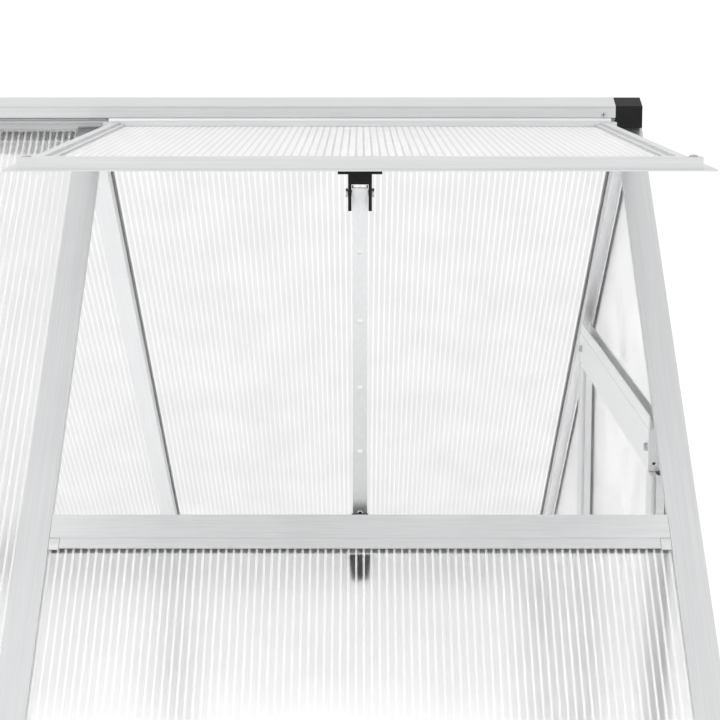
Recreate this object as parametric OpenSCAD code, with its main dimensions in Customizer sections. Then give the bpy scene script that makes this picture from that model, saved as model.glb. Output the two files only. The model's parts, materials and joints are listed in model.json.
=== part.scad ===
// Small gabled greenhouse of two bays: twin-wall sheets held in an aluminium frame,
// a roof vent propped on a holed stay in the right-hand bay, and a hinged door in
// the left gable. Millimetres. X runs along the ridge, Y across it, and Z is up.

/* [House] */
// Distance between neighbouring bars, along the ridge
bay_pitch = 626; // [500:1:800]
// Distance from the ridge line out to the wall sheets
half_width = 925; // [740:1:1150]
// Height of the ridge's crest above the ground
ridge_height = 1950; // [1700:1:2400]
// Slope of both roof faces, in degrees
pitch = 40; // [37:0.5:43]

/* [Sheets] */
// Thickness of the twin-wall sheets
sheet_t = 4; // [3:0.1:5]
// Gap between a sheet's face and each lip that holds it
slot_gap = 0.25; // [0.1:0.05:0.4]
// Gap between a sheet's edge and the bottom of its slot
edge_gap = 1; // [0.5:0.1:1.5]

/* [Bars] */
// Width of a bar's outer cap
cap_w = 30; // [26:1:36]
// Thickness of a bar's outer cap
cap_t = 2; // [1.5:0.1:2.5]
// Width of a bar's hollow box
box_w = 24; // [18:1:28]
// Depth of a rafter from its cap to its underside
rafter_depth = 25; // [20:1:30]
// Thickness of the web between cap and box
web_t = 3; // [2:0.1:4]
// Wall thickness of the hollow sections
wall = 1.5; // [1.2:0.1:2]
// Depth of the fins under a gable rafter
fin_depth = 11; // [8:1:14]
// Depth of wall bars and rails inside the sheets
wall_depth = 15; // [13:1:20]
// Width of a stud's inner flange
flange_w = 32; // [28:1:38]

/* [Gables] */
// Distance of each gable stud from the ridge line
stud_y = 302; // [260:1:340]
// Drop from the roof's apex to the top of the gable beam
beam_drop = 287; // [270:1:320]
// Height of the gable beam
beam_h = 58; // [50:1:70]

/* [Base and eaves] */
// Height of the base rails
base_h = 50; // [40:1:70]
// Height of the eave rail's face
eave_h = 60; // [50:1:75]
// Reach of the gutter beyond the wall sheets
gutter_w = 30; // [24:1:40]

/* [Ridge] */
// Half width of the ridge's hat
hat_half = 23.5; // [23:0.1:26]
// Height of the ridge's crest above the line where the two slopes meet
crest_rise = 27.9; // [24:0.1:32]
// Length of the black cap on each end of the ridge
ridge_cap_l = 31; // [20:1:40]

/* [Vent] */
// Room from each rafter's centre line to the end of the vent's front rail
vent_room = 16.5; // [14:0.5:30]
// How far the closed vent laps over the top of its sill
vent_lap = 14.7; // [8:0.1:20]
// Height of the vent's rails
vent_h = 10.6; // [9.5:0.1:12]
// Distance down the slope to the vent sill
sill_s = 554.5; // [480:0.5:620]
// Radius of the bead that turns in the ridge
bead_r = 2; // [1.6:0.1:2.2]
// Radial clearance of every turning fit
turn_gap = 0.05; // [0.02:0.01:0.08]

/* [Stay] */
// Length of the stay below the peg it hooks on
stay_tail = 57; // [40:1:90]
// Width of the stay
stay_w = 14; // [12:0.5:18]
// Depth of the stay's channel
stay_d = 6; // [4:0.5:8]
// Distance between the stay's holes
hole_pitch = 72.5; // [50:0.5:80]
// Room between the stay and the sill's lower corner
stay_room = 3.5; // [2:0.1:6]

/* [Door] */
// Gap between the door and its frame
door_gap = 2.5; // [1.5:0.1:4]
// Width of the door's stiles and rails
stile_w = 24; // [20:1:30]
// Radius of a hinge knuckle
knuckle_r = 4; // [3.5:0.1:4.5]
// Length of a door hinge
hinge_l = 60; // [45:1:80]

/* [Hidden] */
$fn = 48;
silver = [0.86, 0.87, 0.88];
haze = [0.93, 0.95, 0.96, 0.5];
black = [0.1, 0.1, 0.11];
steel = [0.7, 0.71, 0.73];

joint_gap = 0.3;               // between pieces that butt together
slot = sheet_t + 2 * slot_gap; // width of a sheet's slot
seat = cap_t + slot;           // depth of a rafter's sheet seat below its cap
sheet_n = cap_t + slot_gap;    // depth of a roof sheet's top face
lip_in = -slot_gap;            // wall sheets lie between lip_in and lip_out
lip_out = sheet_t + slot_gap;
cap_out = lip_out + cap_t;     // outer face of a stud
skin_out = lip_out + wall;     // outer face of base rails and posts
edge = web_t / 2 + edge_gap;   // from a bar's centre line to a sheet's edge

apex_z = ridge_height - crest_rise;
wall_z = apex_z - half_width * tan(pitch); // roof height over the wall sheets
gable_x = bay_pitch;                       // inner face of the gable sheets
rail_x = gable_x - joint_gap;              // half length of eave and base rails

// A point on the back slope: s down the slope from the apex, n above it
function slope(s, n) = [s * cos(pitch) + n * sin(pitch), apex_z - s * sin(pitch) + n * cos(pitch)];
// Distance down the slope at which depth n lies at distance y from the ridge
function s_at(y, n) = (y - n * sin(pitch)) / cos(pitch);
// Height, at distance y from the ridge, of the plane at depth n
function z_at(y, n) = apex_z - y * tan(pitch) + n / cos(pitch);

// Ridge
ridge_half = 4;                // half width of the ridge's lower box
ridge_drop = 38;
hat_top = crest_rise - 9.1;    // top of the hat's upright face
hat_foot = 5.4;
hat_x = gable_x + 13 - ridge_cap_l;
seat_end = 26;                 // where the ridge's sheet seat ends, down the slope
sheet_top_s = s_at(ridge_half + 0.5, -sheet_n - sheet_t);
bead = [20.5, 1.5];            // centre of the vent's hinge, from the apex
bead_s = bead[0] * cos(pitch) - bead[1] * sin(pitch); // the same, down the slope
groove_r = bead_r + turn_gap;
curl_r = 3.2;                  // outside of the groove's wall
arm_in = 3.4;
arm_out = 4.8;

// Roof ends
eave_s = s_at(half_width - 24, -seat - wall);
rafter_end = s_at(half_width + 5, 0);
box_end = eave_s - joint_gap;
sheet_end = s_at(half_width + 12, -sheet_n);
eave_foot = wall_z - eave_h;
gutter_z = wall_z - 30;

// Gables
beam_z = apex_z - beam_drop;
beam_foot = beam_z - beam_h;
beam_end = stud_y - 5;
beam_slot = 30;                // top of the beam down to its divider
fin_n = -rafter_depth - 1;     // upper edge of the gable sheets

// Base
base_slot = 30;
sheet_z = base_slot + edge_gap;
post_z = base_h + joint_gap;
post_top = eave_foot - joint_gap;
corner_edge = 7;               // from the corner to the nearest sheet edge

// Vent, level at rest: heights are from the apex
vent_x = bay_pitch / 2;
vent_w = bay_pitch - 2 * vent_room;
vent_reach = sill_s + vent_lap + bead[0] - bead_s;
vent_top = 1.1;
vent_foot = vent_top - vent_h;
plate_t = 1.6;
plate_z = vent_foot - plate_t;
rail_t = 14;
rear_in = 26;
front_in = vent_reach - rail_t;
side_out = vent_w / 2 - 12.5;
side_in = side_out - 8.5;
drip_out = vent_w / 2 + 12.5;
vent_sheet_z = vent_top - 4.1;
lip_w = 6;
lip_t = 1.25;
bar_side = [cap_w / 2, bay_pitch - cap_w / 2];

// Vent sill
sill_w = 27;
sill_d = 22;
sill_box = [sill_s + 1.5, sill_s + sill_w - 1.5];
clip_l = 9.7;
peg_r = 2;

// Stay: its pin from the apex, the sill's lower corner and the peg's root from that pin
pivot = [vent_reach - 36, -33];
pivot_z = apex_z + pivot[1];
corner = slope(sill_s, -sill_d) - [pivot[0], pivot_z];
stay_lean = atan2(-corner[0], -corner[1]) + asin((stay_d / 2 + stay_room) / norm(corner));
peg_n = -6;
peg_root = slope(sill_s - 1, peg_n) - [pivot[0], pivot_z];
peg_at = -peg_root * [sin(stay_lean), cos(stay_lean)];
hole_count = 5;
first_hole = peg_at - (hole_count - 1) * hole_pitch;
stay_l = peg_at + stay_tail;
pin_r = 2.5;
leg_t = 3;
leg_gap = stay_w / 2 + 0.5;
bracket_y = [vent_reach - 45, vent_reach - 21];
stay_x = vent_x;

// Door
door_x = gable_x;
leaf_in = -12;
leaf_out = 6;
leaf_y = stud_y - flange_w / 2 - door_gap;
leaf_z = [base_h + door_gap + 1, beam_foot - door_gap - 1];
mid_rail_z = (leaf_z[0] + leaf_z[1]) / 2 - stile_w / 2;
axis_w = cap_out + knuckle_r + 0.35;
axis_y = leaf_y + 1.7;
hinge_z = [leaf_z[0] + 150, leaf_z[1] - 210];
strap_w = 25;
strap_t = 1.8;
hinge_pin_r = 2;
third = hinge_l / 3;
latch_y = leaf_y - stile_w / 2;
latch_z = 960;
spindle_r = 4;

// ---- Placing ----

// Everything is drawn for the back slope and the right-hand end, then mirrored
module at_front() mirror([0, 1, 0]) children();
module at_left() mirror([1, 0, 0]) children();
module both_sides() {
    children();
    at_front() children();
}

// Extrusions of profiles drawn in (y, z), (x, z), (x, y) and (x, n)
module run_x(from, to) translate([from, 0, 0]) rotate([90, 0, 90]) linear_extrude(to - from) children();
module run_y(from, to) translate([0, to, 0]) rotate([90, 0, 0]) linear_extrude(to - from) children();
module run_z(from, to) translate([0, 0, from]) linear_extrude(to - from) children();
module run_slope(from, to) {
    translate([0, 0, apex_z]) rotate([90 - pitch, 0, 0]) translate([0, 0, -to])
        linear_extrude(to - from) children();
}

// ---- Profiles ----

// A rectangle from its low corner to its high corner
module rect(low, high) translate(low) square(high - low);

module tube(low, high, t = wall) {
    difference() {
        rect(low, high);
        rect(low + [t, t], high - [t, t]);
    }
}

// Wall stud in (t, w): w is measured outwards from the sheet's inner face
module stud_inner() {
    box_in = -wall_depth + 6;
    rect([-flange_w / 2, -wall_depth], [flange_w / 2, -wall_depth + 2]);
    rect([-9, -wall_depth + 1.9], [9, box_in + 0.1]);
    tube([-box_w / 2, box_in], [box_w / 2, lip_in]);
}

module stud_outer() {
    rect([-web_t / 2, lip_in - 0.1], [web_t / 2, lip_out + 0.1]);
    rect([-cap_w / 2, lip_out], [cap_w / 2, cap_out]);
}

// Corner post in (a, b), both measured outwards from the sheets' inner faces
module post_half() {
    rect([lip_in - 0.1, -6], [lip_out + 0.1, -4.5]);
    rect([lip_out, -18], [skin_out, skin_out]);
}

module post_profile() {
    tube([-wall_depth, -wall_depth], [lip_in, lip_in]);
    post_half();
    mirror([1, -1, 0]) post_half();
}

// Base rail in (w, z)
module base_box() tube([-wall_depth, 0], [lip_in, base_h]);
module base_shelf() {
    rect([lip_in - 0.1, base_slot - wall], [lip_out + 0.1, base_slot]);
    rect([lip_in - 0.1, 10], [lip_out + 0.1, 10 + wall]);
}
module base_skin() rect([lip_out, 10], [skin_out, base_h]);

// Gable beam in (w, z), z downwards from its top being negative
module beam_inner() {
    back = -wall_depth + 12;
    difference() {
        union() {
            rect([-wall_depth, -beam_h], [-wall_depth + wall, 0]);
            rect([back - wall, -beam_h], [back, 0]);
            rect([-wall_depth, -15.5], [back, -14]);
            rect([-wall_depth, -beam_h], [back, -beam_h + wall]);
        }
        rect([-wall_depth - 1, -14.9], [-wall_depth + 0.6, -13.7]);
    }
}
// Plate that closes an end of the beam's box; a small drain hole passes through it
module beam_plate() rect([-wall_depth + 0.2, 0.2 - beam_h], [-wall_depth + 11.8, -14.2]);
module beam_outer() {
    back = -wall_depth + 12;
    rect([back - 0.1, -beam_slot], [skin_out, -beam_slot + wall]);
    for (w = [lip_in - wall, lip_out]) rect([w, -beam_slot - 14], [w + wall, -beam_slot + 14]);
}

// Eave rail with its gutter, in (y, z)
module eave_profile() {
    y = half_width;
    flange_s = s_at(y + 8, -seat);
    polygon([slope(eave_s, -seat - wall), slope(flange_s, -seat - wall),
        slope(flange_s, -seat), slope(eave_s, -seat)]);
    for (w = [-wall_depth, lip_in - wall])
        rect([y + w, eave_foot], [y + w + wall, z_at(y + w + wall, -seat - wall / 3)]);
    inset = 0.2; // keeps the edges of joined strips apart
    rect([y - wall_depth + inset, eave_foot], [y + lip_in - inset, eave_foot + wall]);
    rect([y + lip_in - wall + inset, gutter_z], [y + gutter_w, gutter_z + wall]);
    rect([y + lip_out, eave_foot], [y + skin_out, gutter_z + wall - inset]);
    rect([y + gutter_w - wall, gutter_z + inset], [y + gutter_w, wall_z - 8]);
    rect([y + gutter_w - 4, wall_z - 9.5], [y + gutter_w - inset, wall_z - 8]);
}

// Ridge, in (y, z) with z from the apex
module hat_outline() {
    polygon([[-hat_half, hat_foot], [-hat_half, hat_top], [0, crest_rise],
        [hat_half, hat_top], [hat_half, hat_foot]]);
}
module hat_hollow(t = 2) {
    polygon([[t - hat_half, hat_foot + wall], [t - hat_half, hat_top - 1],
        [0, crest_rise - 1.8], [hat_half - t, hat_top - 1], [hat_half - t, hat_foot + wall]]);
}
// The part of a circle of radius r that lies between two angles
module sector(r, from, to) {
    mid = (from + to) / 2;
    intersection() {
        circle(r);
        polygon([[0, 0], 2 * r * [cos(from), sin(from)], 2 * r * [cos(mid), sin(mid)],
            2 * r * [cos(to), sin(to)]]);
    }
}
module hat_profile() {
    difference() {
        union() {
            difference() {
                hat_outline();
                hat_hollow();
            }
            for (side = [-1, 1]) scale([side, 1]) {
                translate(bead) circle(curl_r);
                rect([bead[0] - curl_r - 0.6, bead[1] - 1.8], [bead[0] - 1.4, hat_foot + 0.1]);
            }
        }
        for (side = [-1, 1]) {
            scale([side, 1]) translate(bead) {
                circle(groove_r);
                sector(arm_out + 0.25, -20, 62);
            }
            scale([side, 1]) rect([hat_half - 0.9, hat_top - 2.2], [hat_half + 1, hat_top - 1]);
        }
    }
}
module ridge_low_profile() {
    root = s_at(ridge_half - 0.7, -seat);
    tube([-ridge_half, -ridge_drop], [ridge_half, hat_foot]);
    for (side = [-1, 1]) scale([side, 1]) translate([0, -apex_z])
        polygon([slope(root, -seat), slope(seat_end, -seat),
            slope(seat_end, -seat - wall), slope(root, -seat - wall)]);
}

// ---- Frame ----

module base_rail_long() {
    color(steel) {
        run_x(-rail_x, rail_x) translate([half_width, 0]) {
            base_box();
            base_shelf();
            base_skin();
        }
        run_x(-gable_x - sheet_t, gable_x + sheet_t) translate([half_width, 0]) base_skin();
    }
}

module base_rail_end() {
    inner = half_width - wall_depth - joint_gap;
    color(steel) {
        run_y(-inner, inner) translate([gable_x, 0]) {
            base_box();
            base_shelf();
        }
        run_y(-half_width - skin_out, half_width + skin_out) translate([gable_x, 0]) base_skin();
    }
}

module base_corner_brackets() {
    x = gable_x - wall_depth - joint_gap;
    y = half_width - wall_depth - joint_gap;
    color(steel) both_sides() for (side = [0, 1]) mirror([side, 0, 0]) {
        translate([x - 40, y - 2, 8]) cube([40, 2, base_h - 16]);
        translate([x - 2, y - 40, 8]) cube([2, 40, base_h - 16]);
    }
}

module corner_posts() {
    color(silver) both_sides() run_z(post_z, post_top) translate([gable_x, half_width]) post_profile();
}

module wall_studs() {
    color(silver) both_sides() run_z(post_z, post_top) translate([0, half_width]) {
        stud_inner();
        stud_outer();
    }
}

module eave_rail() {
    color(silver) run_x(-rail_x, rail_x) eave_profile();
}

module gutter_end_caps() {
    y0 = half_width + skin_out;
    y1 = half_width + gutter_w;
    color(black) both_sides() for (side = [0, 1]) mirror([side, 0, 0]) {
        run_x(gable_x, gable_x + 3) rect([y0, gutter_z - 0.5], [y1 + 0.5, wall_z - 8.2]);
        run_x(gable_x - 9, gable_x + 1) rect([y0 + 2, gutter_z + wall + joint_gap], [y1 - 5, wall_z - 18]);
    }
}

module ridge_beam() {
    color(silver) translate([0, 0, apex_z]) {
        run_x(-hat_x, hat_x) hat_profile();
        run_x(-gable_x - 10, gable_x + 10) ridge_low_profile();
    }
}

// Hollow end cap with a tongue inside the ridge's hat
module ridge_cap() {
    x0 = hat_x + joint_gap;
    x1 = hat_x + ridge_cap_l;
    shell = 2;
    foot = -6.4;
    over_box = ridge_half + joint_gap;
    color(black) translate([0, 0, apex_z]) {
        difference() {
            run_x(x0, x1) union() {
                hat_outline();
                rect([-hat_half, foot], [hat_half, hat_foot + 0.1]);
            }
            run_x(x0 + shell, x1 - shell) union() {
                hat_hollow(shell);
                rect([shell - hat_half, foot - 1], [hat_half - shell, hat_foot + wall + 0.1]);
            }
            run_x(x0 - 1, x1 - shell) rect([-over_box, foot - 1], [over_box, hat_foot + joint_gap]);
        }
        run_x(x0 - 14, x0 + 0.1) difference() {
            translate([0, -0.4]) hat_hollow(2.4);
            translate([0, -2.4]) hat_hollow(4.4);
            rect([-hat_half, 0], [hat_half, hat_foot + wall + 2]);
        }
    }
}

// Roof bar: cap and web run the whole slope, the box stops short of the ridge and eave
module rafter() {
    color(silver) {
        run_slope(10.5, rafter_end) {
            rect([-cap_w / 2, -cap_t], [cap_w / 2, 0]);
            rect([-web_t / 2, slot_gap - seat], [web_t / 2, -cap_t + 0.1]);
        }
        run_slope(seat_end + joint_gap, box_end) {
            tube([-box_w / 2, -rafter_depth], [box_w / 2, -seat]);
            rect([-web_t / 2, -seat - 0.1], [web_t / 2, slot_gap - seat + 0.1]);
        }
    }
}

// A gable rafter has two fins below its box that hold the gable sheets
module gable_rafter() {
    low = -rafter_depth - fin_depth;
    translate([gable_x, 0, 0]) {
        rafter();
        color(silver) run_slope(s_at(ridge_half + 2, low), box_end)
            for (x = [lip_in - wall, lip_out]) rect([x, low], [x + wall, -rafter_depth + 0.1]);
    }
}

module gable_beam() {
    color(silver) {
        difference() {
            union() {
                run_y(-beam_end, beam_end) translate([gable_x, beam_z]) beam_inner();
                both_sides() run_y(beam_end - wall, beam_end) translate([gable_x, beam_z]) beam_plate();
            }
            translate([gable_x - wall_depth / 2 - 1.5, 0, beam_foot + 8]) rotate([90, 0, 0])
                cylinder(r = 1.5, h = 2 * stud_y, center = true);
        }
        run_y(-stud_y + cap_w / 2 + joint_gap, stud_y - cap_w / 2 - joint_gap)
            translate([gable_x, beam_z]) beam_outer();
    }
}

module gable_stud() {
    web_top = z_at(stud_y + cap_w / 2, -rafter_depth - fin_depth) - 1;
    color(silver) {
        run_z(post_z, beam_foot - joint_gap) translate([gable_x, stud_y]) rotate(-90) stud_inner();
        run_z(post_z, web_top) translate([gable_x, stud_y]) rotate(-90) stud_outer();
    }
}

// Hollow bar across the bay that the closed vent lands on, with a seat for the lower sheet
module vent_sill() {
    low = bar_side + [joint_gap, -joint_gap];
    lip = [low[0] + clip_l + joint_gap, low[1] - clip_l - joint_gap];
    s1 = sill_box[1];
    color(silver) {
        difference() {
            sill_run(low) {
                rect([sill_s, -wall], [sill_s + sill_w, 0]);
                rect([sill_box[0], -sill_d], [s1, -wall + 0.1]);
                rect([s1 - 0.1, -seat - wall], [s1 + 15, -seat]);
            }
            sill_run([low[0] - 1, low[1] + 1])
                rect([sill_box[0] + wall, wall - sill_d], [s1 - wall, -wall]);
        }
        sill_run(lip) rect([s1 - 0.1, -cap_t], [sill_s + sill_w + 11, -cap_t + wall]);
    }
}

// Extrusion along X of a profile drawn in (s, n)
module sill_run(x) {
    translate([0, 0, apex_z]) rotate([-pitch, 0, 0]) run_x(x[0], x[1]) children();
}

module vent_sill_clips() {
    x = bar_side + [joint_gap, -joint_gap];
    s = sill_s + sill_w + 0.5;
    color(silver) for (at = [x[0], x[1] - clip_l]) sill_run([at, at + clip_l])
        polygon([[s, -cap_t], [s, 0], [s + 7, 0], [s + 12, -0.8], [s + 12, -cap_t]]);
}

// Peg that the stay hooks on: a foot on the sill and a pin square to the stay
module stay_peg() {
    face_gap = 0.5;
    reach = peg_root * [cos(stay_lean), -sin(stay_lean)] - stay_d / 2 - face_gap;
    color(black) {
        sill_run([stay_x - 8, stay_x + 8]) rect([sill_s - 2, peg_n - 7], [sill_s - joint_gap, -1]);
        translate([stay_x, pivot[0] + peg_root[0], pivot_z + peg_root[1]]) rotate([90 - stay_lean, 0, 0])
            translate([0, 0, -1]) cylinder(r = peg_r, h = reach + 1);
    }
}

module frame_bolts() {
    x = gable_x - wall_depth - 0.1;
    color(steel) both_sides() for (side = [0, 1]) mirror([side, 0, 0]) {
        translate([x - 3.5, beam_end - 8, beam_z - 34]) rotate([0, 90, 0]) cylinder(r = 5, h = 3.5);
        translate([gable_x - 42, half_width - wall_depth - 2.3 - 3.6, base_h / 2])
            rotate([-90, 0, 0]) cylinder(r = 5, h = 3.5);
        translate([gable_x - wall_depth - 2.3 - 3.6, half_width - 42, base_h / 2])
            rotate([0, 90, 0]) cylinder(r = 5, h = 3.5);
    }
}

// ---- Sheets ----

module roof_sheet(bay, from) {
    x0 = (bay - 1) * bay_pitch + edge;
    color(haze) sill_run([x0, x0 + bay_pitch - 2 * edge])
        rect([from, -sheet_n - sheet_t], [sheet_end, -sheet_n]);
}

module wall_sheets() {
    color(haze) for (side = [0, 1]) mirror([side, 0, 0])
        translate([edge, half_width, sheet_z])
            cube([gable_x - corner_edge - edge, sheet_t, gutter_z - edge_gap - sheet_z]);
}

module gable_sheet(points) color(haze) run_x(gable_x, gable_x + sheet_t) polygon(points);

module gable_top_sheet() {
    y = stud_y - edge;
    z = beam_z - beam_slot + wall + edge_gap;
    top = apex_z - ridge_drop - 2;
    peak = (z_at(0, fin_n) - top) / tan(pitch);
    gable_sheet([[-y, z], [y, z], [y, z_at(y, fin_n)], [peak, top], [-peak, top], [-y, z_at(y, fin_n)]]);
}

module gable_centre_sheet() {
    y = stud_y - edge;
    z = beam_z - beam_slot - edge_gap;
    gable_sheet([[-y, sheet_z], [y, sheet_z], [y, z], [-y, z]]);
}

module gable_side_sheets() {
    y0 = stud_y + edge;
    y1 = half_width - corner_edge;
    both_sides() gable_sheet([[y0, sheet_z], [y1, sheet_z], [y1, z_at(y1, fin_n)], [y0, z_at(y0, fin_n)]]);
}

// ---- Vent, drawn level on the back slope's side and mirrored to the front ----

module vent_run(half, at = vent_x) translate([at, 0, apex_z]) run_x(-half, half) children();

module sheet_lips(y0, y1) {
    for (z = [vent_sheet_z + slot_gap, vent_sheet_z - sheet_t - slot_gap - lip_t])
        rect([y0, z], [y1, z + lip_t]);
}

module vent_hinge_rail() {
    curl = bead + [4.1, -0.5];
    color(silver) at_front() {
        vent_run(side_out + 6) {
            translate(bead) {
                circle(bead_r);
                rotate(40) rect([0, -0.65], [arm_out - 0.2, 0.65]);
                difference() {
                    sector(arm_out, -36, 48);
                    circle(arm_in);
                }
            }
            rect([curl[0], vent_top - 2], [rear_in + 0.2, vent_top]);
        }
        vent_run(vent_w / 2 - 2) tube([rear_in, plate_z], [rear_in + rail_t, vent_top], lip_t);
        vent_run(side_in - lip_w - joint_gap)
            sheet_lips(rear_in + rail_t - 0.1, rear_in + rail_t + lip_w);
    }
}

module vent_side_rail() {
    color(silver) at_front() translate([vent_x, 0, apex_z])
        run_y(rear_in + rail_t + joint_gap, front_in - joint_gap) {
            tube([side_in, plate_z], [side_out, vent_top], lip_t);
            rect([side_out - 0.1, plate_z], [drip_out, vent_foot]);
            sheet_lips(side_in - lip_w, side_in + 0.1);
        }
}

module vent_front_rail() {
    bracket_lip = front_in - 18;
    z = vent_sheet_z - sheet_t - slot_gap;
    color(silver) at_front() {
        vent_run(vent_w / 2) tube([front_in, vent_foot - 0.1], [vent_reach, vent_top], lip_t);
        vent_run(drip_out) rect([front_in, plate_z], [vent_reach + 1.2, vent_foot]);
        vent_run(side_in - lip_w - joint_gap) {
            sheet_lips(front_in - lip_w, front_in + 0.1);
            rect([bracket_lip, z - lip_t], [front_in + 0.1, z]);
        }
    }
}

module vent_sheet() {
    half = side_in - edge_gap;
    y0 = rear_in + rail_t + edge_gap;
    color(haze) at_front() translate([vent_x - half, y0, apex_z + vent_sheet_z - sheet_t])
        cube([2 * half, front_in - edge_gap - y0, sheet_t]);
}

module vent_corner_screws() {
    color(steel) at_front() for (side = [-1, 1])
        translate([vent_x + side * (vent_w / 2 - 7.5), front_in + rail_t / 2, apex_z + vent_top + 0.1])
            cylinder(r = 4, h = 1.6);
}

// Plastic fork under the front rail that carries the stay's pin
module stay_bracket() {
    top = vent_sheet_z - sheet_t - slot_gap - lip_t - joint_gap;
    block = -15.5;
    foot = pivot[1] - 8;
    color(black) at_front() translate([stay_x, 0, apex_z]) difference() {
        union() {
            translate([-19.5, bracket_y[0], block]) cube([39, bracket_y[1] - bracket_y[0], top - block]);
            translate([-leg_gap - leg_t, bracket_y[0], -27])
                cube([2 * (leg_gap + leg_t), 18, block + 27.1]);
            for (side = [0, 1]) mirror([side, 0, 0])
                translate([leg_gap, bracket_y[0], foot - 7.5]) cube([leg_t, 18, -foot - 18]);
        }
        translate([-40, pivot[0], pivot[1]]) rotate([0, 90, 0]) cylinder(r = pin_r + turn_gap, h = 80);
        translate([-leg_gap, bracket_y[0] - 1, foot - 20])
            cube([2 * leg_gap, 20, pivot[1] + stay_w / 2 + 1 - foot + 20]);
    }
}

module stay_pin() {
    half = leg_gap + leg_t + 0.2;
    color(steel) at_front() translate([stay_x, pivot[0], pivot_z]) rotate([0, 90, 0]) {
        translate([0, 0, -half - 2]) cylinder(r = pin_r, h = 2 * half + 4);
        for (z = [-half - 2, half]) translate([0, 0, z]) cylinder(r = 4, h = 2);
    }
}

// Channel with its web towards the sill; drawn hanging plumb, then leaned
module stay_frame() {
    at_front() translate([stay_x, pivot[0], pivot_z]) rotate([-stay_lean, 0, 0]) children();
}

module stay() {
    t = 1.2;
    color(silver) stay_frame() difference() {
        translate([-stay_w / 2, -stay_d / 2, -stay_l]) cube([stay_w, stay_d, stay_l + 6]);
        translate([t - stay_w / 2, -stay_d / 2 - 1, -stay_l - 1]) cube([stay_w - 2 * t, stay_d + 1 - t, stay_l + 8]);
        rotate([0, 90, 0]) translate([0, 0, -20]) cylinder(r = pin_r + turn_gap, h = 40);
        for (i = [0:hole_count - 1]) translate([0, 0, -first_hole - i * hole_pitch])
            rotate([-90, 0, 0]) cylinder(r = 2.5, h = 10);
    }
}

module stay_grip() {
    wide = 12;
    color(black) stay_frame() difference() {
        run_y(-stay_d / 2 - 2, stay_d / 2 + 2) polygon([[-wide, 6 - stay_l], [wide, 6 - stay_l],
            [wide - 4, -stay_l - 26], [4 - wide, -stay_l - 26]]);
        translate([-stay_w / 2 - 0.2, -stay_d / 2 - 0.2, -stay_l - 0.3])
            cube([stay_w + 0.4, stay_d + 0.4, 10]);
    }
}

// ---- Door, in the left gable: (t, w) as for a stud, drawn at the right and mirrored ----

module door_stiles() {
    bands = [[leaf_z[0] + stile_w, mid_rail_z], [mid_rail_z + stile_w, leaf_z[1] - stile_w]];
    color(silver) at_left() difference() {
        both_sides() translate([door_x, 0, 0]) {
            run_z(leaf_z[0], leaf_z[1]) tube([leaf_in, leaf_y - stile_w], [leaf_out, leaf_y]);
            for (band = bands) run_z(band[0] + joint_gap, band[1] - joint_gap) door_lips(leaf_y - stile_w);
        }
        translate([door_x - 30, -latch_y, latch_z]) rotate([0, 90, 0])
            cylinder(r = spindle_r + turn_gap, h = 60);
    }
}

module door_lips(y) {
    for (w = [lip_in - wall, lip_out]) rect([w, y - lip_w], [w + wall, y + 0.1]);
}

module door_rails() {
    half = leaf_y - stile_w - joint_gap;
    ends = [leaf_z[0], leaf_z[1] - stile_w];
    color(silver) at_left() translate([door_x, 0, 0]) {
        for (z = [ends[0], mid_rail_z, ends[1]])
            run_y(-half, half) tube([leaf_in, z], [leaf_out, z + stile_w]);
        for (z = [ends[0] + stile_w, mid_rail_z - lip_w, mid_rail_z + stile_w, ends[1] - lip_w])
            run_y(-half + lip_w, half - lip_w)
                for (w = [lip_in - wall, lip_out]) rect([w, z - 0.1], [w + wall, z + lip_w + 0.1]);
    }
}

module door_sheets() {
    half = leaf_y - stile_w - edge_gap;
    z0 = leaf_z[0] + stile_w + edge_gap;
    z1 = mid_rail_z + stile_w + edge_gap;
    color(haze) at_left() translate([door_x, -half, 0]) {
        translate([0, 0, z0]) cube([sheet_t, 2 * half, mid_rail_z - edge_gap - z0]);
        translate([0, 0, z1]) cube([sheet_t, 2 * half, leaf_z[1] - stile_w - edge_gap - z1]);
    }
}

// One hinge leaf: a strap to one side of the axis, tabs and knuckles at the given bands
module hinge_leaf(bands, side) {
    low = -knuckle_r;
    difference() {
        union() {
            run_z(0, hinge_l) rect([low, side > 0 ? knuckle_r + 0.5 : -strap_w],
                [low + strap_t, side > 0 ? strap_w : -knuckle_r - 0.5]);
            for (band = bands) run_z(band[0], band[1]) {
                circle(knuckle_r);
                rect([low, side > 0 ? 0 : -knuckle_r - 1], [low + strap_t, side > 0 ? knuckle_r + 1 : 0]);
            }
        }
        translate([0, 0, -1]) cylinder(r = hinge_pin_r + turn_gap, h = hinge_l + 2);
    }
}

module hinge_frame() at_left() for (z = hinge_z) translate([door_x + axis_w, axis_y, z]) children();

module frame_hinge_leaves() {
    color(steel) hinge_frame() hinge_leaf([[0, third], [2 * third, hinge_l]], 1);
}
module door_hinge_leaves() {
    color(steel) hinge_frame() hinge_leaf([[third + 0.3, 2 * third - 0.3]], -1);
}
module door_hinge_pins() {
    color(steel) hinge_frame() {
        translate([0, 0, -1]) cylinder(r = hinge_pin_r, h = hinge_l + 2);
        translate([0, 0, hinge_l + 0.2]) cylinder(r = 3, h = 1.8);
    }
}

module latch_handle() {
    face = leaf_out + 0.3;
    color(black) at_left() translate([door_x, -latch_y, latch_z]) {
        translate([face, 0, 0]) rotate([0, 90, 0]) cylinder(r = 11, h = 2.5);
        translate([face + 2.4, -6, -8]) cube([5, 12, 68]);
        translate([-15.4, 0, 0]) rotate([0, 90, 0]) cylinder(r = spindle_r, h = face + 16);
    }
}

module latch_tongue() {
    color(steel) at_left() translate([door_x - 17.6, -latch_y, latch_z]) {
        translate([0, -5, -32]) cube([2, 10, 38]);
    }
}

// ---- Pieces ----

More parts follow.
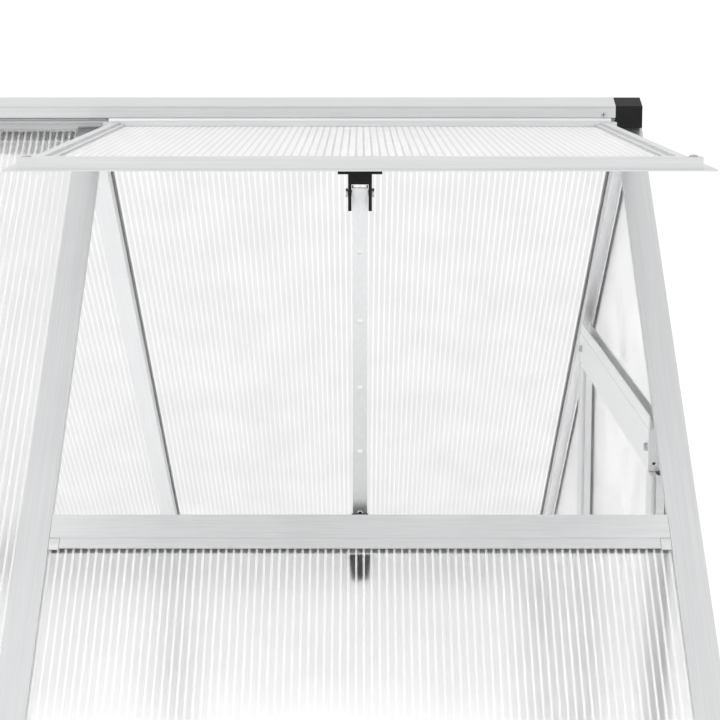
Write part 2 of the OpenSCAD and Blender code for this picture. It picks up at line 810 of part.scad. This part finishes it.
at_front() base_rail_long();  // base_rail_front
base_rail_long();  // base_rail_back
at_left() base_rail_end();  // base_rail_left
base_rail_end();  // base_rail_right
base_corner_brackets();
at_left() corner_posts();  // corner_posts_left
corner_posts();  // corner_posts_right
wall_studs();
at_front() eave_rail();  // eave_rail_front
eave_rail();  // eave_rail_back
gutter_end_caps();
ridge_beam();
at_left() ridge_cap();  // ridge_cap_left
ridge_cap();  // ridge_cap_right
at_left() at_front() gable_rafter();  // gable_rafter_front_left
at_front() gable_rafter();  // gable_rafter_front_right
at_left() gable_rafter();  // gable_rafter_back_left
gable_rafter();  // gable_rafter_back_right
at_front() rafter();  // mid_rafter_front
rafter();  // mid_rafter_back
gable_beam();  // gable_beam_right
at_front() gable_stud();  // gable_stud_front
gable_stud();  // gable_stud_back
at_left() gable_beam();  // door_header
at_left() gable_stud();  // door_jamb_hinge_side
at_left() at_front() gable_stud();  // door_jamb_latch_side
at_front() vent_sill();
at_front() vent_sill_clips();
at_front() stay_peg();
frame_bolts();
at_front() wall_sheets();  // wall_sheets_front
wall_sheets();  // wall_sheets_back
at_front() roof_sheet(0, sheet_top_s);  // roof_sheet_front_left
at_front() roof_sheet(1, sill_box[1] + edge_gap);  // roof_sheet_front_right
roof_sheet(0, sheet_top_s);  // roof_sheet_back_left
roof_sheet(1, sheet_top_s);  // roof_sheet_back_right
gable_top_sheet();  // gable_sheet_right_top
gable_centre_sheet();  // gable_sheet_right_centre
gable_side_sheets();  // gable_sheets_right_side
at_left() gable_top_sheet();  // gable_sheet_left_top
at_left() gable_side_sheets();  // gable_sheets_left_side
vent_hinge_rail();
translate([2 * vent_x, 0, 0]) at_left() vent_side_rail();  // vent_side_rail_left
vent_side_rail();  // vent_side_rail_right
vent_front_rail();
vent_sheet();
vent_corner_screws();
stay_bracket();
stay_pin();
stay();
stay_grip();
door_stiles();
door_rails();
door_sheets();
door_hinge_leaves();
frame_hinge_leaves();
door_hinge_pins();
latch_handle();
latch_tongue();
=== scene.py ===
"""Looks of the small aluminium greenhouse: drawn bars, twin-wall sheets, moulded ends and studio."""

import json
import math

import bmesh
import bpy
from mathutils import Matrix, Vector


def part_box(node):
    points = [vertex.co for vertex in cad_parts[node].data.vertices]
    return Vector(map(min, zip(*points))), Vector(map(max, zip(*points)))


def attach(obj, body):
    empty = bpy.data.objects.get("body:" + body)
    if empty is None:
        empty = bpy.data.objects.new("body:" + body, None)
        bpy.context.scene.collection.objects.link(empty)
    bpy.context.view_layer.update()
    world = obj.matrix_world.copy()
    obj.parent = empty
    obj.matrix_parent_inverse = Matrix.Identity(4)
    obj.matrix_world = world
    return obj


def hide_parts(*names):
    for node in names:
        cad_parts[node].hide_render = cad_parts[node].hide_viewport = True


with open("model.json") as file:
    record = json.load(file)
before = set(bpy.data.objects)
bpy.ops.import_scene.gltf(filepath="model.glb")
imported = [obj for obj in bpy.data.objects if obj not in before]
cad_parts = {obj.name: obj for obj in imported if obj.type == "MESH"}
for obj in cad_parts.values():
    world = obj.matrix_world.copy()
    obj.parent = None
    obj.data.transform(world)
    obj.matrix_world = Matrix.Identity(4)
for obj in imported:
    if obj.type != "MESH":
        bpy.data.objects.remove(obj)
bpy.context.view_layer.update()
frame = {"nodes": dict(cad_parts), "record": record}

MM = 0.001
ROOF_PITCH = math.radians(40)

# Twin-wall sheet: two skins joined by webs
RIB_PITCH = 7.3 * MM
RIB_WEB = 0.6 * MM  # thickness of a web
RIB_FOOT = 0.7 * MM  # width of skin on each side of a web that has the rib's look
SKIN = 0.5 * MM  # thickness of a skin
SKIN_SLOT, RIB_SLOT, WEB_SLOT = range(3)  # places of a sheet's materials

# Aluminium: size of a drawn streak along X, Y and Z
LONG = 0.16
FINE = 0.0022
ALONG_X = (LONG, FINE, FINE)
ALONG_Y = (FINE, LONG, FINE)
ALONG_Z = (FINE, FINE, LONG)
SHORT_X = (0.05, 0.0016, 0.0016)

# A noise seldom leaves this range, so a tone or a roughness goes from end to end over it
MASK_LOW = 0.3
MASK_HIGH = 0.7

# Clean-up of meshes
WELD = 0.01 * MM  # vertices this close are one
NEAR = 0.02 * MM  # slack of a box that is searched for vertices
FLAT = math.radians(1)  # faces that meet at less than this are joined
SHARP = math.radians(35)  # edges that turn more than this are rounded
ROUNDING = 0.4 * MM

# ---------------------------------------------------------------- nodes


def add(tree, kind, settings=None, **inputs):
    """A shader node with its settings, and its sockets linked or given a value. An input is called
    by its label, or by _ and its number."""
    made = tree.nodes.new(kind)
    for key, value in (settings or {}).items():
        setattr(made, key, value)
    for key, value in inputs.items():
        socket = made.inputs[int(key[1:])] if key[0] == "_" else made.inputs[key.replace("_", " ")]
        if isinstance(value, bpy.types.NodeSocket):
            tree.links.new(value, socket)
        else:
            socket.default_value = value
    return made


def object_place(tree):
    """Coordinates on the piece itself."""
    return add(tree, "ShaderNodeTexCoord").outputs["Object"]


def new_group(name, inputs, outputs):
    """An empty shader node group with its inputs and outputs, each a name and a kind."""
    tree = bpy.data.node_groups.new(name, "ShaderNodeTree")
    for way, sockets in (("INPUT", inputs), ("OUTPUT", outputs)):
        for label, kind in sockets:
            tree.interface.new_socket(label, in_out=way, socket_type="NodeSocket" + kind)
    return tree, tree.nodes.new("NodeGroupInput"), tree.nodes.new("NodeGroupOutput")


def blended(tree, first, second, share):
    """The two values mixed, with share of the second."""
    rest = add(tree, "ShaderNodeMath", {"operation": "MULTIPLY"}, _0=first, _1=1 - share)
    return add(tree, "ShaderNodeMath", {"operation": "MULTIPLY_ADD"}, _0=second, _1=share,
               _2=rest.outputs[0]).outputs[0]


def grey(value, green=0.0, blue=0.0):
    """A grey colour with a little added to its green and blue."""
    return (value, value + green, value + blue)


def two_tone(tree, mask, low, high):
    """A colour between two tones as the mask goes over its range."""
    ramp = add(tree, "ShaderNodeValToRGB", _0=mask)
    for stop, place, colour in zip(ramp.color_ramp.elements, (MASK_LOW, MASK_HIGH), (low, high)):
        stop.position = place
        stop.color = (*colour, 1)
    return ramp.outputs[0]


def between(tree, mask, low, high):
    """A value from low to high as the mask goes over its range."""
    return add(tree, "ShaderNodeMapRange", _0=mask, _1=MASK_LOW, _2=MASK_HIGH, _3=low,
               _4=high).outputs[0]


def drawn_grain():
    """Long fine streaks that a die leaves along a bar, with faint handling marks over them."""
    tree, entry, out = new_group(
        "drawn_grain", [("Along", "Vector"), ("Place", "Vector")],
        [("Tone", "Float"), ("Height", "Float"), ("Dull", "Float")])
    streak = add(tree, "ShaderNodeTexNoise", Vector=entry.outputs["Along"], Scale=1.0, Detail=5.0,
                 Roughness=0.62)
    scratch = add(tree, "ShaderNodeTexNoise", Vector=entry.outputs["Along"], Scale=3.7, Detail=2.0)
    smudge = add(tree, "ShaderNodeTexNoise", Vector=entry.outputs["Place"], Scale=9.0, Detail=3.0)
    tree.links.new(blended(tree, streak.outputs[0], smudge.outputs[0], 0.3), out.inputs["Tone"])
    tree.links.new(blended(tree, streak.outputs[0], scratch.outputs[0], 0.4), out.inputs["Height"])
    tree.links.new(blended(tree, smudge.outputs[0], streak.outputs[0], 0.35), out.inputs["Dull"])
    return tree


def moulded_skin():
    """The fine spark-eroded skin of a moulding, with slow waves of sheen."""
    tree, entry, out = new_group("moulded_skin", [("Place", "Vector")],
                                 [("Tone", "Float"), ("Height", "Float")])
    pebble = add(tree, "ShaderNodeTexVoronoi", {"feature": "SMOOTH_F1"}, Vector=entry.outputs["Place"],
                 Scale=1400.0)
    wave = add(tree, "ShaderNodeTexNoise", Vector=entry.outputs["Place"], Scale=60.0, Detail=3.0)
    tree.links.new(pebble.outputs[0], out.inputs["Height"])
    tree.links.new(blended(tree, wave.outputs[0], pebble.outputs[0], 0.3), out.inputs["Tone"])
    return tree


GRAIN = drawn_grain()
SKIN_OF_MOULD = moulded_skin()

# ---------------------------------------------------------------- materials


def new_material(name, **constants):
    """A material with its Principled shader, whose plain values are set on its own sockets."""
    material = bpy.data.materials.new(name)
    material.use_nodes = True
    shader = material.node_tree.nodes["Principled BSDF"]
    for key, value in constants.items():
        shader.inputs[key.replace("_", " ")].default_value = value
    return material, material.node_tree, shader


def surfaced(tree, shader, colour, roughness):
    """Gives a shader its colour and roughness."""
    tree.links.new(colour, shader.inputs["Base Color"])
    tree.links.new(roughness, shader.inputs["Roughness"])


def bumped(tree, shader, height, strength, depth):
    """Gives a shader the relief of a height."""
    bump = add(tree, "ShaderNodeBump", Strength=strength, Distance=depth, Height=height)
    tree.links.new(bump.outputs[0], shader.inputs["Normal"])


def aluminium(name, streak, turn, light, dark):
    """Mill-finished bar between two tones. streak is the size of a streak along X, Y and Z once
    these are turned about X."""
    material, tree, shader = new_material(name, Metallic=0.75)
    place = object_place(tree)
    along = add(tree, "ShaderNodeMapping", {"vector_type": "TEXTURE"}, Vector=place,
                Rotation=(turn, 0, 0), Scale=streak)
    grain = add(tree, "ShaderNodeGroup", {"node_tree": GRAIN}, Along=along.outputs[0], Place=place)
    surfaced(tree, shader,
             two_tone(tree, grain.outputs["Tone"], grey(dark, 0.005, 0.01), grey(light, 0.005, 0.01)),
             between(tree, grain.outputs["Dull"], 0.38, 0.52))
    bumped(tree, shader, grain.outputs["Height"], 0.25, 0.2 * MM)
    return material


def black_moulding():
    """Matt black plastic."""
    material, tree, shader = new_material("black_moulding", Specular_IOR_Level=0.16)
    mould = add(tree, "ShaderNodeGroup", {"node_tree": SKIN_OF_MOULD}, Place=object_place(tree))
    tone = mould.outputs["Tone"]
    surfaced(tree, shader, two_tone(tree, tone, grey(0.008, blue=0.001), grey(0.016, blue=0.001)),
             between(tree, tone, 0.42, 0.58))
    bumped(tree, shader, mould.outputs["Height"], 0.2, 0.1 * MM)
    return material


def zinc_plate():
    """Steel with a clouded zinc plating."""
    material, tree, shader = new_material("zinc_plate", Metallic=1.0)
    place = object_place(tree)
    crystal = add(tree, "ShaderNodeTexVoronoi", Vector=place, Scale=420.0).outputs[0]
    cloud = add(tree, "ShaderNodeTexNoise", Vector=place, Scale=160.0, Detail=4.0).outputs[0]
    mask = blended(tree, cloud, crystal, 0.4)
    surfaced(tree, shader, two_tone(tree, mask, grey(0.42, blue=0.01), grey(0.62, blue=0.01)),
             between(tree, cloud, 0.28, 0.42))
    bumped(tree, shader, cloud, 0.15, 0.1 * MM)
    return material


def polycarbonate(name, dim, clear, through, haze=0.42, bend=1.05, blue=0.0):
    """Extruded sheet plastic, whose thin skins bend light very little. Its tone wanders from dim to
    clear. through is the share that a face lets pass, haze its roughness, which wanders too, and
    bend its index of refraction."""
    material, tree, shader = new_material(name, Transmission_Weight=through, IOR=bend)
    cloud = add(tree, "ShaderNodeTexNoise", Vector=object_place(tree), Scale=14.0, Detail=2.0).outputs[0]
    surfaced(tree, shader, two_tone(tree, cloud, grey(dim, blue=blue), grey(clear, blue=blue)),
             between(tree, cloud, haze * 0.85, haze * 1.15))
    return material


BLACK = black_moulding()
ZINC = zinc_plate()

# The skin and the ribs of each sort of sheet, and the sides of every web
FRONT = (polycarbonate("sheet_skin", 0.95, 0.97, 0.99, haze=0.38),
         polycarbonate("sheet_rib", 0.995, 1.0, 0.7))
# The shaded sort is the same plastic with its skin painted darker, as painted shade, for the back roof
# and the walls
SHADED = (polycarbonate("shaded_sheet_skin", 0.87, 0.888, 0.99, blue=0.001),
          polycarbonate("shaded_sheet_rib", 0.985, 1.0, 0.97))
GABLE = (polycarbonate("gable_sheet_skin", 0.912, 0.928, 1.0, haze=0.5, bend=1.02, blue=0.001),
         polycarbonate("gable_sheet_rib", 0.985, 1.0, 0.97, haze=0.5, bend=1.02))
# The vent's skin lets only half through and is white, as painted reflection of the white walls at its
# low angle; its ribs are grey, as painted shade and painted reflection in lines along them
VENT = (polycarbonate("vent_sheet_skin", 0.985, 1.0, 0.5),
        polycarbonate("vent_sheet_rib", 0.84, 0.91, 0.6))
WEB = polycarbonate("sheet_web", 0.99, 1.0, 1.0, haze=0.6, bend=1.02)

# Each finish of aluminium: streaks, turn about X, light tone, dark tone, and the bars that have it. Some
# bars have their tones raised as painted light, and the base rails have theirs lowered as painted shade,
# for the light that falls on them
FINISHES_AND_PAINTED_LIGHT = {
    "aluminium_along_ridge": (ALONG_X, 0.0, 0.68, 0.59, (
        "eave_rail_front", "eave_rail_back", "ridge_beam", "vent_front_rail")),
    # Vent hinge rail: tones raised as painted light, against the shade that falls on it under the ridge
    "aluminium_vent_hinge_rail_painted_light": (ALONG_X, 0.0, 0.75, 0.67, ("vent_hinge_rail",)),
    "aluminium_across_gable": (ALONG_Y, 0.0, 0.68, 0.59, (
        "door_header", "door_rails", "vent_side_rail_left", "vent_side_rail_right")),
    # Gable beam: tones raised as painted light, for the dim light inside the greenhouse
    "aluminium_gable_beam_painted_light": (ALONG_Y, 0.0, 0.95, 0.88, ("gable_beam_right",)),
    "aluminium_upright": (ALONG_Z, 0.0, 0.68, 0.59, (
        "corner_posts_left", "corner_posts_right", "wall_studs", "door_jamb_hinge_side",
        "door_jamb_latch_side", "door_stiles")),
    # Gable studs: tones raised as painted light, for the dim light inside the greenhouse
    "aluminium_gable_stud_painted_light": (ALONG_Z, 0.0, 0.84, 0.76, ("gable_stud_front", "gable_stud_back")),
    # Stay: tones raised as painted light, for the dim light inside the greenhouse
    "aluminium_stay_painted_light": (ALONG_Z, 0.0, 0.74, 0.66, ("stay",)),
    "aluminium_front_slope": (ALONG_Y, ROOF_PITCH, 0.68, 0.59, (
        "gable_rafter_front_left", "gable_rafter_front_right", "mid_rafter_front")),
    # Back slope rafters: tones raised as painted light, for the dim light on their inward faces
    "aluminium_back_slope_painted_light": (ALONG_Y, -ROOF_PITCH, 0.82, 0.74, (
        "gable_rafter_back_left", "gable_rafter_back_right", "mid_rafter_back")),
    "aluminium_sill": (SHORT_X, ROOF_PITCH, 0.73, 0.61, ("vent_sill", "vent_sill_clips")),
    # Base rails: tones lowered as painted shade, against the key light that falls on them
    "aluminium_base_painted_shade": (ALONG_X, 0.0, 0.66, 0.56, (
        "base_rail_front", "base_rail_back", "base_rail_left", "base_rail_right")),
}
MOULDINGS = ("gutter_end_caps", "ridge_cap_left", "ridge_cap_right", "stay_peg", "stay_bracket",
             "stay_grip", "latch_handle")
PLATED = ("base_corner_brackets", "stay_pin", "door_hinge_leaves", "frame_hinge_leaves",
          "door_hinge_pins", "latch_tongue")

# ---------------------------------------------------------------- pieces


def body_of_node(node):
    """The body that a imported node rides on."""
    return next(body for body, nodes in frame["record"]["behaviour"]["bodies"].items() if node in nodes)


def in_scene(name, data):
    """A new object in the scene that shows some mesh, light or camera."""
    made = bpy.data.objects.new(name, data)
    bpy.context.scene.collection.objects.link(made)
    return made


def shown(bm, name, materials):
    """A new object in the scene from a bmesh, which is freed."""
    mesh = bpy.data.meshes.new(name)
    bm.to_mesh(mesh)
    bm.free()
    for material in materials:
        mesh.materials.append(material)
    return in_scene(name, mesh)


def finished(bm, name, node, materials):
    """Makes a piece from its bmesh, on the body of the node that it goes with."""
    piece = shown(bm, name, materials)
    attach(piece, body_of_node(node))
    return piece


def coated(node, material):
    """Gives a node's own shape one material."""
    mesh = frame["nodes"][node].data
    mesh.materials.clear()
    mesh.materials.append(material)


def merged_copy(node):
    """A bmesh of a node's shape with its loose triangles joined up."""
    bm = bmesh.new()
    bm.from_mesh(frame["nodes"][node].data)
    bmesh.ops.remove_doubles(bm, verts=bm.verts, dist=WELD)
    return bm


def span(points):
    """The low and high corner of the box round some points."""
    return Vector(map(min, zip(*points))), Vector(map(max, zip(*points)))


def islands(node):
    """The low and high corner of each separate solid in a node."""
    bm = merged_copy(node)
    left = set(bm.verts)
    boxes = []
    while left:
        reached = [left.pop()]
        for vert in reached:
            for edge in vert.link_edges:
                other = edge.other_vert(vert)
                if other in left:
                    left.remove(other)
                    reached.append(other)
        boxes.append(span([v.co for v in reached]))
    bm.free()
    return sorted(boxes, key=lambda box: tuple(round(c, 4) for c in box[0]))


def corners(node, low, high):
    """The node's own vertices that lie in a box."""
    return [v.co for v in frame["nodes"][node].data.vertices
            if all(a - NEAR <= c <= b + NEAR for a, c, b in zip(low, v.co, high))]


def softened(node, material, radius):
    """The node's own shape with its sharp edges rounded off."""
    bm = merged_copy(node)
    bmesh.ops.dissolve_limit(bm, angle_limit=FLAT, verts=bm.verts, edges=bm.edges)
    sharp = [e for e in bm.edges if len(e.link_faces) == 2 and e.calc_face_angle(0) > SHARP]
    bmesh.ops.bevel(bm, geom=sharp, offset=radius, offset_type="OFFSET", segments=2, profile=0.5,
                    affect="EDGES", clamp_overlap=True, material=-1)
    bmesh.ops.triangulate(bm, faces=[f for f in bm.faces if len(f.verts) > 4])
    piece = finished(bm, node + "_rounded", node, [material])
    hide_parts(node)


# Each bar gets its grain, and where the table gives them, the tones of painted light and painted shade
for name, (streak, turn, light, dark, bars) in FINISHES_AND_PAINTED_LIGHT.items():
    finish_and_painted_light = aluminium(name, streak, turn, light, dark)
    for bar in bars:
        coated(bar, finish_and_painted_light)
for part in PLATED:
    coated(part, ZINC)
for part in MOULDINGS:
    softened(part, BLACK, ROUNDING)

# ---------------------------------------------------------------- twin-wall sheets


def sheet_profile(bm, width, thickness):
    """Fills bm with the sheet's end: two skins joined by webs, drawn on X across and Z through."""
    cells = round(width / RIB_PITCH)
    pitch = (width - RIB_WEB) / cells
    across = [0.0]
    for i in range(cells):
        start = i * pitch
        across += [start + RIB_WEB, start + RIB_WEB + RIB_FOOT, start + pitch - RIB_FOOT, start + pitch]
    across.append(width)
    through = [0.0, SKIN, thickness - SKIN, thickness]
    columns = len(across) - 1
    rows = len(through) - 1
    bmesh.ops.create_grid(bm, x_segments=columns, y_segments=rows, size=0.5)
    for vert in bm.verts:
        i = round((vert.co.x + 0.5) * columns)
        j = round((vert.co.y + 0.5) * rows)
        vert.co = (across[i], 0, through[j])
    hollow = []
    for face in bm.faces:
        middle = face.calc_center_median()
        from_web = middle.x % pitch
        is_skin = RIB_WEB + RIB_FOOT < from_web < pitch - RIB_FOOT
        face.material_index = SKIN_SLOT if is_skin else RIB_SLOT
        beside_webs = from_web > RIB_WEB and middle.x < across[-2]
        if beside_webs and SKIN < middle.z < thickness - SKIN:
            hollow.append(face)
    bmesh.ops.delete(bm, geom=hollow, context="FACES")


def twin_wall(bm, low, high, place):
    """Adds a sheet between two corners in its own frame, with ribs along Y, set in place."""
    sheet = bmesh.new()
    sheet_profile(sheet, high.x - low.x, high.z - low.z)
    pulled = bmesh.ops.extrude_face_region(sheet, geom=sheet.faces[:])
    moved = [v for v in pulled["geom"] if isinstance(v, bmesh.types.BMVert)]
    bmesh.ops.translate(sheet, verts=moved, vec=(0, high.y - low.y, 0))
    bmesh.ops.recalc_face_normals(sheet, faces=sheet.faces)
    for face in sheet.faces:
        looks_along_x = abs(face.normal.x) > 0.5
        if looks_along_x:
            face.material_index = WEB_SLOT
    bmesh.ops.transform(sheet, matrix=place @ Matrix.Translation(low), verts=sheet.verts)
    joined = bpy.data.meshes.new("sheet")
    sheet.to_mesh(joined)
    sheet.free()
    bm.from_mesh(joined)
    bpy.data.meshes.remove(joined)


def cut_slopes(bm, slopes):
    """Cuts the tops of gable sheets along the roof's slopes and closes the cut."""
    for point, normal in slopes:
        cut = bmesh.ops.bisect_plane(bm, geom=bm.verts[:] + bm.edges[:] + bm.faces[:],
                                     dist=0.001 * MM, plane_co=point, plane_no=normal,
                                     clear_outer=True)
        edges = [e for e in cut["geom_cut"] if isinstance(e, bmesh.types.BMEdge) and e.is_boundary]
        if edges:
            bmesh.ops.triangle_fill(bm, edges=edges, use_beauty=True, normal=normal)


def glazed(node, place, look, slopes=()):
    """Replaces a node of plain sheets by ribbed ones. place turns a sheet's own frame into the
    model's, look is the material of its skin and that of its ribs, and slopes cut its top."""
    to_own_frame = place.inverted()
    bm = bmesh.new()
    for low, high in islands(node):
        low, high = span([to_own_frame @ v for v in corners(node, low, high)])
        twin_wall(bm, low, high, place)
    cut_slopes(bm, slopes)
    piece = finished(bm, node + "_ribbed", node, [*look, WEB])
    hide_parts(node)


# A sheet's own frame has X across its ribs, Y along them and Z through it
ON_BACK_SLOPE = Matrix.Rotation(-ROOF_PITCH, 4, "X")
ON_FRONT_SLOPE = Matrix.Rotation(ROOF_PITCH, 4, "X")
LEVEL = Matrix.Identity(4)
UPRIGHT_WALL = Matrix.Rotation(math.radians(90), 4, "X")
UPRIGHT_GABLE = Matrix.Rotation(math.radians(90), 4, "Z") @ UPRIGHT_WALL

# The slopes' planes meet a gable's top sheet at the ends of its flat top
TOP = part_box("gable_sheet_right_top")[1].z
TOP_END = max(v.co.y for v in frame["nodes"]["gable_sheet_right_top"].data.vertices
              if v.co.z > TOP - 0.1 * MM)
SLOPES = [((0, side * TOP_END, TOP), (0, side * math.sin(ROOF_PITCH), math.cos(ROOF_PITCH)))
          for side in (-1, 1)]

for side, place, look in (("front", ON_FRONT_SLOPE, FRONT), ("back", ON_BACK_SLOPE, SHADED)):
    glazed("wall_sheets_" + side, UPRIGHT_WALL, SHADED)
    for bay in ("left", "right"):
        glazed(f"roof_sheet_{side}_{bay}", place, look)
for bay in ("left", "right"):
    glazed(f"gable_sheet_{bay}_top", UPRIGHT_GABLE, GABLE, SLOPES)
    glazed(f"gable_sheets_{bay}_side", UPRIGHT_GABLE, GABLE, SLOPES)
glazed("gable_sheet_right_centre", UPRIGHT_GABLE, GABLE)
glazed("door_sheets", UPRIGHT_GABLE, GABLE)
glazed("vent_sheet", LEVEL, VENT)

# ---------------------------------------------------------------- fasteners

# Parts of a hexagon head, as shares of its radius or height
FLANGE_TOP = 0.25
FLANGE_TAPER = 0.93
HEXAGON_FOOT = 0.2
HEXAGON_RADIUS = 0.86
HEXAGON_CHAMFER = 0.12
CROWN_REACH = 0.9  # takes in the hexagon's upper corners and not its lower ones

# Rings of a domed head from its foot up, each a share of its radius and of its height
DOME = ((1.0, 0.0), (1.0, 0.35), (0.93, 0.62), (0.76, 0.85), (0.55, 1.0))
SOCKET_RADIUS = 0.42
SOCKET_FLOOR = 0.35

# The screw that stops the vent from sliding along the ridge's groove
STOP_X = 0.594
STOP_BELOW_RIDGE = 0.0185
STOP_RADIUS = 2.6 * MM
STOP_HEIGHT = 1.4 * MM


def facing(centre, direction):
    """A frame at centre whose Z looks along direction."""
    return Matrix.Translation(centre) @ Vector(direction).to_track_quat("Z", "Y").to_matrix().to_4x4()


def raised(place, height):
    """The frame moved along its own Z."""
    return place @ Matrix.Translation((0, 0, height))


def edges_among(verts):
    """The edges that run between two of these vertices, in the order of the vertices."""
    return list(dict.fromkeys(e for v in verts for e in v.link_edges if e.other_vert(v) in verts))


def hex_head(bm, place, radius, height):
    """A flanged hexagon head: a thin round flange with a chamfered hexagon on it."""
    bmesh.ops.create_cone(
        bm, cap_ends=True, segments=32, radius1=radius, radius2=radius * FLANGE_TAPER,
        depth=height * FLANGE_TOP, matrix=raised(place, height * FLANGE_TOP / 2))
    hexagon = radius * HEXAGON_RADIUS
    head = bmesh.ops.create_cone(
        bm, cap_ends=True, segments=6, radius1=hexagon, radius2=hexagon,
        depth=height * (1 - HEXAGON_FOOT), matrix=raised(place, height * (1 + HEXAGON_FOOT) / 2))
    top = place @ Vector((0, 0, height))
    crown = [v for v in head["verts"] if (v.co - top).length < radius * CROWN_REACH]
    bmesh.ops.bevel(bm, geom=edges_among(crown), offset=radius * HEXAGON_CHAMFER,
                    offset_type="OFFSET", segments=2, profile=0.5, affect="EDGES", material=-1)


def socket_head(bm, place, radius, height):
    """A domed round head with a hexagon socket sunk in it."""
    rings = []
    for share, lift in DOME:
        ring = bmesh.ops.create_circle(
            bm, segments=24, radius=radius * share, matrix=raised(place, height * lift))
        rings.append(ring["verts"])
    for is_floor, lift in ((False, 1.0), (True, SOCKET_FLOOR)):
        ring = bmesh.ops.create_circle(
            bm, cap_ends=is_floor, segments=6, radius=radius * SOCKET_RADIUS,
            matrix=raised(place, height * lift))
        rings.append(ring["verts"])
    loops = [edges_among(ring) for ring in rings]
    for first, second in zip(loops, loops[1:]):
        bmesh.ops.bridge_loops(bm, edges=first + second)
    bmesh.ops.edgeloop_fill(bm, edges=loops[0])


def bolt_heads(node, make, name, inward):
    """Replaces each plain head in a node by a detailed one, whose axis is the head's thinnest way.
    It faces the middle of the greenhouse if inward, or else along the axis."""
    bm = bmesh.new()
    for low, high in islands(node):
        size = high - low
        axis = min(range(3), key=lambda i: size[i])
        out = -math.copysign(1, low[axis] + high[axis]) if inward else 1
        direction = Vector([out if i == axis else 0 for i in range(3)])
        foot = (low + high) / 2 - direction * size[axis] / 2
        make(bm, facing(foot, direction), max(size) / 2, size[axis])
    bmesh.ops.recalc_face_normals(bm, faces=bm.faces)
    piece = finished(bm, name, node, [ZINC])
    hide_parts(node)


bolt_heads("frame_bolts", hex_head, "frame_bolt_heads", True)
bolt_heads("vent_corner_screws", socket_head, "vent_corner_screw_heads", False)

stop = bmesh.new()
ridge_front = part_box("ridge_cap_right")[0].y
stop_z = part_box("ridge_beam")[1].z - STOP_BELOW_RIDGE
socket_head(stop, facing((STOP_X, ridge_front, stop_z), (0, -1, 0)), STOP_RADIUS, STOP_HEIGHT)
bmesh.ops.recalc_face_normals(stop, faces=stop.faces)
finished(stop, "vent_stop_screw", "ridge_beam", [ZINC])

# ---------------------------------------------------------------- studio

FLOOR_RADIUS = 3.1
FLOOR_DEPTH = 0.5 * MM  # below the ground, so that nothing lies in the same plane
WALL_LIGHT = 1.1  # strength with which the white walls light the greenhouse
BACKDROP = 1.05  # strength with which the camera sees them

KEY_PLACE = (-2.6, -3.4, 4.6)
KEY_TARGET = (0, 0, 1.2)
KEY_SIZE = 3.0
KEY_POWER = 45

LENS = 93.49
LENS_SHIFT = -0.12
EYE_Y = -2.1865
EYE_ABOVE_RIDGE = 0.0936
EYE_TILT = 7.835  # degrees that the camera looks down


def studio_floor():
    """A pale round floor under the greenhouse."""
    bm = bmesh.new()
    bmesh.ops.create_circle(bm, cap_ends=True, segments=128, radius=FLOOR_RADIUS)
    bmesh.ops.translate(bm, verts=bm.verts, vec=(0, 0, -FLOOR_DEPTH))
    material, tree, shader = new_material(
        "pale_floor", Roughness=0.7, Emission_Color=(1, 1, 1, 1), Emission_Strength=0.6)
    cloud = add(tree, "ShaderNodeTexNoise", Vector=object_place(tree), Scale=2.0)
    tree.links.new(two_tone(tree, cloud.outputs[0], grey(0.86), grey(0.89)),
                   shader.inputs["Base Color"])
    floor = shown(bm, "studio_floor", [material])


def studio_walls():
    """White all round, a little less strong where the camera sees it. The ramp over the height is
    white at both ends and is still needed: with one plain colour in its place the sheets come out
    darker."""
    world = bpy.data.worlds.new("studio")
    bpy.context.scene.world = world
    world.use_nodes = True
    tree = world.node_tree
    tree.nodes.clear()
    height = add(tree, "ShaderNodeSeparateXYZ", _0=add(tree, "ShaderNodeTexCoord").outputs["Generated"])
    white = two_tone(tree, height.outputs[2], grey(1.0), grey(1.0))
    around = add(tree, "ShaderNodeBackground", Color=white, Strength=WALL_LIGHT)
    behind = add(tree, "ShaderNodeBackground", Color=(1, 1, 1, 1), Strength=BACKDROP)
    seen = add(tree, "ShaderNodeLightPath").outputs["Is Camera Ray"]
    mixed = add(tree, "ShaderNodeMixShader", _0=seen, _1=around.outputs[0], _2=behind.outputs[0])
    add(tree, "ShaderNodeOutputWorld", Surface=mixed.outputs[0])


def soft_light(name, place, target, size, power):
    """A round area light that looks at its target."""
    light = bpy.data.lights.new(name, "AREA")
    light.shape = "DISK"
    light.size = size
    light.energy = power
    lamp = in_scene(name, light)
    lamp.location = place
    lamp.rotation_euler = (Vector(target) - Vector(place)).to_track_quat("-Z", "Y").to_euler()


def camera():
    """Looks down a little at the vent, from in front of its middle."""
    vent_low, vent_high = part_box("vent_front_rail")
    lens = bpy.data.cameras.new("camera")
    lens.sensor_width = 36
    lens.lens = LENS
    lens.shift_y = LENS_SHIFT
    eye = in_scene("camera", lens)
    eye.location = ((vent_low.x + vent_high.x) / 2, EYE_Y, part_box("ridge_beam")[1].z + EYE_ABOVE_RIDGE)
    eye.rotation_euler = (math.radians(90 - EYE_TILT), 0, 0)
    bpy.context.scene.camera = eye


studio_floor()
studio_walls()
soft_light("key", KEY_PLACE, KEY_TARGET, KEY_SIZE, KEY_POWER)
camera()

scene = bpy.context.scene
scene.view_settings.view_transform = "Standard"
scene.cycles.max_bounces = 24
scene.cycles.transmission_bounces = 24
